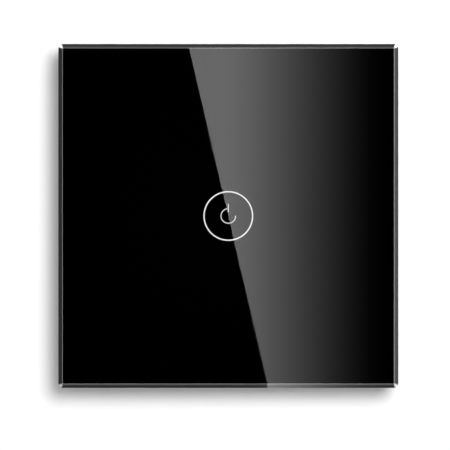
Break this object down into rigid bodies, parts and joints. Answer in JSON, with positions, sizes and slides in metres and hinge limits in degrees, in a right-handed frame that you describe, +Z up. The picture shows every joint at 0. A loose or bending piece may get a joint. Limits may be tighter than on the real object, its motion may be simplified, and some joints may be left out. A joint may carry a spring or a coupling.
{
  "type": "touch light switch",
  "caption": "Square wall light switch with a bevelled black glass touch panel, a lit ring and on/off mark, on a clip-on frame over a mounting plate and rear housing.",
  "frame": {"origin": "centre of the panel on the plane of the wall face", "axes": "+Z up the wall, +Y into the wall, front towards -Y, +X to the right seen from the front"},
  "size_m": [0.086, 0.0388, 0.087],
  "materials": {
    "panel_glass": "polished float glass with ground bevel",
    "black_print": "opaque black back print",
    "lit_ink": "white translucent ink",
    "diffuser_film": "matt diffusing film",
    "adhesive_tape": "foam tape",
    "frame_plastic": "moulded black plastic",
    "spring_steel": "sprung strip",
    "plate_plastic": "moulded light grey plastic",
    "housing_plastic": "moulded white plastic",
    "zinc_steel": "zinc plated",
    "clear_acrylic": "clear moulded acrylic",
    "plated_spring": "gold plated spring wire",
    "circuit_board": "green solder resist",
    "led_resin": "clear resin",
    "chip_resin": "black moulding resin",
    "gold_plate": "gold plated pin",
    "relay_plastic": "blue moulded case",
    "soft_iron": "plated iron",
    "bobbin_plastic": "moulded",
    "copper_wire": "enamelled copper",
    "contact_bronze": "stamped bronze",
    "winding_tape": "polyester tape",
    "ferrite": "pressed ferrite",
    "box_film": "yellow moulded box",
    "varistor_coat": "blue epoxy coat",
    "can_sleeve": "black shrink sleeve",
    "terminal_plastic": "green moulding",
    "cage_brass": "nickel-free brass"
  },
  "bodies": {
    "base": {"mounting_plate": "plate_plastic", "rear_housing": "housing_plastic", "housing_screws": "zinc_steel", "inner_cover": "housing_plastic", "light_guide": "clear_acrylic", "touch_spring": "plated_spring", "control_board": "circuit_board", "control_board_screws": "zinc_steel", "indicator_leds": "led_resin", "touch_chip": "chip_resin", "header_socket": "chip_resin", "header_base": "chip_resin", "header_pins": "gold_plate", "power_board": "circuit_board", "power_board_screws": "zinc_steel", "relay_base": "chip_resin", "relay_case": "relay_plastic", "relay_yoke": "soft_iron", "relay_bobbin": "bobbin_plastic", "relay_winding": "copper_wire", "relay_core": "soft_iron", "relay_fixed_contact": "contact_bronze", "transformer_bobbin": "chip_resin", "transformer_winding": "winding_tape", "transformer_core": "ferrite", "suppression_capacitor": "box_film", "varistor": "varistor_coat", "fuse": "chip_resin", "bulk_capacitor": "can_sleeve", "output_capacitor": "can_sleeve", "rectifier": "chip_resin", "terminal_block": "terminal_plastic", "terminal_entry": "terminal_plastic", "terminal_contacts": "contact_bronze"},
    "panel": {"glass_panel": "panel_glass", "back_print": "black_print", "lit_marks": "lit_ink", "diffuser_film": "diffuser_film", "adhesive_tape": "adhesive_tape", "panel_frame": "frame_plastic", "panel_clips": "spring_steel"},
    "armature": {"relay_armature": "soft_iron", "relay_contact_spring": "contact_bronze"},
    "cage_1": {"clamp_cage_1": "cage_brass"},
    "screw_1": {"terminal_screw_1": "zinc_steel"},
    "cage_2": {"clamp_cage_2": "cage_brass"},
    "screw_2": {"terminal_screw_2": "zinc_steel"},
    "cage_3": {"clamp_cage_3": "cage_brass"},
    "screw_3": {"terminal_screw_3": "zinc_steel"}
  },
  "joints": [
    {"name": "panel_pull", "type": "slide", "parent": "base", "child": "panel", "axis": [0, -1, 0], "range_m": [0, 0.03], "deforming": ["panel_clips"]},
    {"name": "relay_pull_in", "type": "hinge", "parent": "base", "child": "armature", "pos_m": [-0.0141, 0.0221, 0.01335], "axis": [0, 0, -1], "range_deg": [0, 3], "stiffness_Nm_per_rad": 0.05, "springref_deg": -1.15},
    {"name": "cage_lift_1", "type": "slide", "parent": "base", "child": "cage_1", "axis": [0, 1, 0], "range_m": [0, 0.003]},
    {"name": "terminal_turn_1", "type": "hinge", "parent": "base", "child": "screw_1", "pos_m": [-0.008, 0.023, -0.0161], "axis": [0, -1, 0], "range_deg": [0, 2160]},
    {"name": "cage_lift_2", "type": "slide", "parent": "base", "child": "cage_2", "axis": [0, 1, 0], "range_m": [0, 0.003]},
    {"name": "terminal_turn_2", "type": "hinge", "parent": "base", "child": "screw_2", "pos_m": [0, 0.023, -0.0161], "axis": [0, -1, 0], "range_deg": [0, 2160]},
    {"name": "cage_lift_3", "type": "slide", "parent": "base", "child": "cage_3", "axis": [0, 1, 0], "range_m": [0, 0.003]},
    {"name": "terminal_turn_3", "type": "hinge", "parent": "base", "child": "screw_3", "pos_m": [0.008, 0.023, -0.0161], "axis": [0, -1, 0], "range_deg": [0, 2160]}
  ],
  "couplings": [
    {"joint": "terminal_turn_1", "follows": "cage_lift_1", "rad_per_m": 12566},
    {"joint": "terminal_turn_2", "follows": "cage_lift_2", "rad_per_m": 12566},
    {"joint": "terminal_turn_3", "follows": "cage_lift_3", "rad_per_m": 12566}
  ]
}
